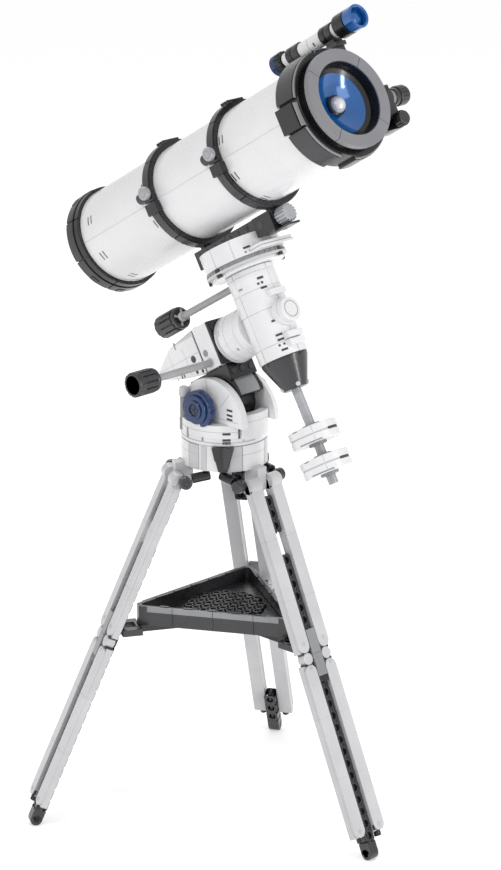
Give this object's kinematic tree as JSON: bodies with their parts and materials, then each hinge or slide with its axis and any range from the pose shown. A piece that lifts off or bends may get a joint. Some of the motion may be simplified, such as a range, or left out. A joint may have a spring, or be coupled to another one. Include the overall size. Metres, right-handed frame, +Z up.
{
  "type": "telescope on tripod",
  "caption": "Toy-brick reflector telescope on a tilted two-axis mount and splayed tripod, with slow-motion rods, tube rings, finder, focuser, counterweights and a tray.",
  "frame": {"origin": "middle of the floor space that the object covers, on the floor under the feet", "axes": "+Z up; +X the way the tube points, over the front leg; +Y to the focuser's side; the tube's axis lies in a plane of constant Y"},
  "size_m": [0.2575, 0.2406, 0.5467],
  "materials": {
    "white": "semi-gloss",
    "light_grey": "semi-gloss",
    "mid_grey": "semi-gloss",
    "dark_grey": "semi-gloss",
    "black": "semi-gloss",
    "blue": "semi-gloss",
    "blue_dish": "semi-gloss",
    "pearl": "semi-gloss"
  },
  "bodies": {
    "tripod": {"hub_base": "light_grey", "hub_front_block": "black", "azimuth_bolt": "black", "leg_rails_front": "white", "leg_rails_rear": "white", "leg_rails_side": "white", "leg_connectors": "white", "leg_pins": "black", "leg_clamp_tiles": "dark_grey", "tray_frame": "dark_grey", "tray_grille": "dark_grey", "tray_spreader": "black"},
    "leg_beam_front": {"leg_beam_front": "dark_grey"},
    "leg_beam_rear": {"leg_beam_rear": "dark_grey"},
    "leg_beam_side": {"leg_beam_side": "dark_grey"},
    "azimuth_head": {"azimuth_drum": "white", "fork_ear_near": "white", "fork_ear_far": "white", "latitude_axle": "black", "lock_post": "mid_grey"},
    "latitude_knob_near": {"latitude_knob_near": "blue"},
    "latitude_knob_far": {"latitude_knob_far": "blue"},
    "polar_housing": {"latitude_block": "dark_grey", "polar_housing": "white", "polar_front_plate": "black"},
    "polar_slow_motion": {"polar_slow_rod": "light_grey", "polar_slow_knob": "dark_grey"},
    "polar_axis": {"polar_drum": "white", "polar_shaft": "mid_grey", "dec_housing": "white", "counterweight_cone": "dark_grey", "counterweight_shaft": "light_grey"},
    "dec_slow_motion": {"dec_slow_rod": "light_grey", "dec_slow_knob": "dark_grey"},
    "counterweight_upper": {"counterweight_upper": "white"},
    "counterweight_lower": {"counterweight_lower": "white"},
    "dec_head": {"dec_turntable": "mid_grey", "dec_shaft": "mid_grey", "dec_drum": "white", "dovetail_bar": "black", "saddle_clamp": "black", "rear_ring_lower": "dark_grey", "front_ring_lower": "dark_grey"},
    "saddle_knob": {"saddle_knob": "light_grey"},
    "rear_ring_upper": {"rear_ring_upper": "dark_grey"},
    "front_ring_upper": {"front_ring_upper": "dark_grey"},
    "rear_ring_knob": {"rear_ring_knob": "mid_grey"},
    "front_ring_knob": {"front_ring_knob": "mid_grey"},
    "optical_tube": {"tube_shell": "white", "rear_cap": "dark_grey", "front_collar": "dark_grey", "face_ring": "mid_grey", "primary_mirror": "blue_dish", "secondary_dome": "pearl", "finder_bracket": "dark_grey", "finder_tube": "black", "focuser_base": "mid_grey"},
    "finder_eyepiece": {"finder_eyepiece": "blue"},
    "focuser_drawtube": {"focuser_drawtube": "black"},
    "focus_knob": {"focus_knob": "black"}
  },
  "joints": [
    {"name": "leg_slide_front", "type": "slide", "parent": "tripod", "child": "leg_beam_front", "axis": [0.4008, 0, -0.9162], "range_m": [0, 0.048]},
    {"name": "leg_slide_rear", "type": "slide", "parent": "tripod", "child": "leg_beam_rear", "axis": [-0.2004, 0.3471, -0.9162], "range_m": [0, 0.016]},
    {"name": "leg_slide_side", "type": "slide", "parent": "tripod", "child": "leg_beam_side", "axis": [-0.2004, -0.3471, -0.9162], "range_m": [0, 0.048]},
    {"name": "azimuth_turn", "type": "hinge", "parent": "tripod", "child": "azimuth_head", "pos_m": [-0.006, 0, 0.2573], "axis": [0, 0, 1], "continuous": true},
    {"name": "latitude_tilt", "type": "hinge", "parent": "azimuth_head", "child": "polar_housing", "pos_m": [-0.004, 0, 0.28], "axis": [0, -1, 0], "range_deg": [-20, 14]},
    {"name": "latitude_knob_near_turn", "type": "hinge", "parent": "azimuth_head", "child": "latitude_knob_near", "pos_m": [-0.004, -0.026, 0.28], "axis": [0, -1, 0], "continuous": true},
    {"name": "latitude_knob_far_turn", "type": "hinge", "parent": "azimuth_head", "child": "latitude_knob_far", "pos_m": [-0.004, 0.026, 0.28], "axis": [0, 1, 0], "continuous": true},
    {"name": "polar_turn", "type": "hinge", "parent": "polar_housing", "child": "polar_axis", "pos_m": [0.00064, 0, 0.32082], "axis": [0.8572, 0, 0.515], "range_deg": [-90, 62]},
    {"name": "polar_slow_turn", "type": "hinge", "parent": "polar_housing", "child": "polar_slow_motion", "pos_m": [-0.0022, -0.03, 0.30885], "axis": [0, -1, 0], "continuous": true},
    {"name": "dec_turn", "type": "hinge", "parent": "polar_axis", "child": "dec_head", "pos_m": [0.01682, 0, 0.36962], "axis": [-0.515, 0, 0.8572], "continuous": true},
    {"name": "dec_slow_turn", "type": "hinge", "parent": "polar_axis", "child": "dec_slow_motion", "pos_m": [-0.00571, -0.009, 0.34886], "axis": [-0.8572, 0, -0.515], "continuous": true},
    {"name": "counterweight_upper_slide", "type": "slide", "parent": "polar_axis", "child": "counterweight_upper", "axis": [-0.515, 0, 0.8572], "range_m": [-0.003, 0.018]},
    {"name": "counterweight_lower_slide", "type": "slide", "parent": "polar_axis", "child": "counterweight_lower", "axis": [-0.515, 0, 0.8572], "range_m": [-0.004, 0.003]},
    {"name": "saddle_knob_turn", "type": "hinge", "parent": "dec_head", "child": "saddle_knob", "pos_m": [0.04756, 0, 0.41166], "axis": [0.8572, 0, 0.515], "continuous": true},
    {"name": "rear_ring_open", "type": "hinge", "parent": "dec_head", "child": "rear_ring_upper", "pos_m": [-0.03526, 0.0405, 0.41125], "axis": [-0.8572, 0, -0.515], "range_deg": [0, 70]},
    {"name": "rear_ring_knob_turn", "type": "hinge", "parent": "rear_ring_upper", "child": "rear_ring_knob", "pos_m": [-0.03679, -0.037, 0.41768], "axis": [0, -1, 0], "continuous": true},
    {"name": "front_ring_open", "type": "hinge", "parent": "dec_head", "child": "front_ring_upper", "pos_m": [0.02277, 0.0405, 0.44611], "axis": [-0.8572, 0, -0.515], "range_deg": [0, 70]},
    {"name": "front_ring_knob_turn", "type": "hinge", "parent": "front_ring_upper", "child": "front_ring_knob", "pos_m": [0.02124, -0.037, 0.45254], "axis": [0, -1, 0], "continuous": true},
    {"name": "tube_slide", "type": "slide", "parent": "dec_head", "child": "optical_tube", "axis": [0.8572, 0, 0.515], "range_m": [-0.012, 0.012]},
    {"name": "finder_eyepiece_turn", "type": "hinge", "parent": "optical_tube", "child": "finder_eyepiece", "pos_m": [0.02145, 0.02, 0.49782], "axis": [-0.8572, 0, -0.515], "continuous": true},
    {"name": "focus_knob_turn", "type": "hinge", "parent": "optical_tube", "child": "focus_knob", "pos_m": [0.10558, 0.042, 0.47429], "axis": [0.8572, 0, 0.515], "range_deg": [-180, 180]},
    {"name": "drawtube_slide", "type": "slide", "parent": "optical_tube", "child": "focuser_drawtube", "axis": [0, 1, 0], "range_m": [-0.0036, 0.0036]}
  ],
  "couplings": [
    {"joint": "polar_slow_turn", "follows": "polar_turn", "ratio": 24},
    {"joint": "dec_slow_turn", "follows": "dec_turn", "ratio": 24},
    {"joint": "focus_knob_turn", "follows": "drawtube_slide", "rad_per_m": 870}
  ]
}
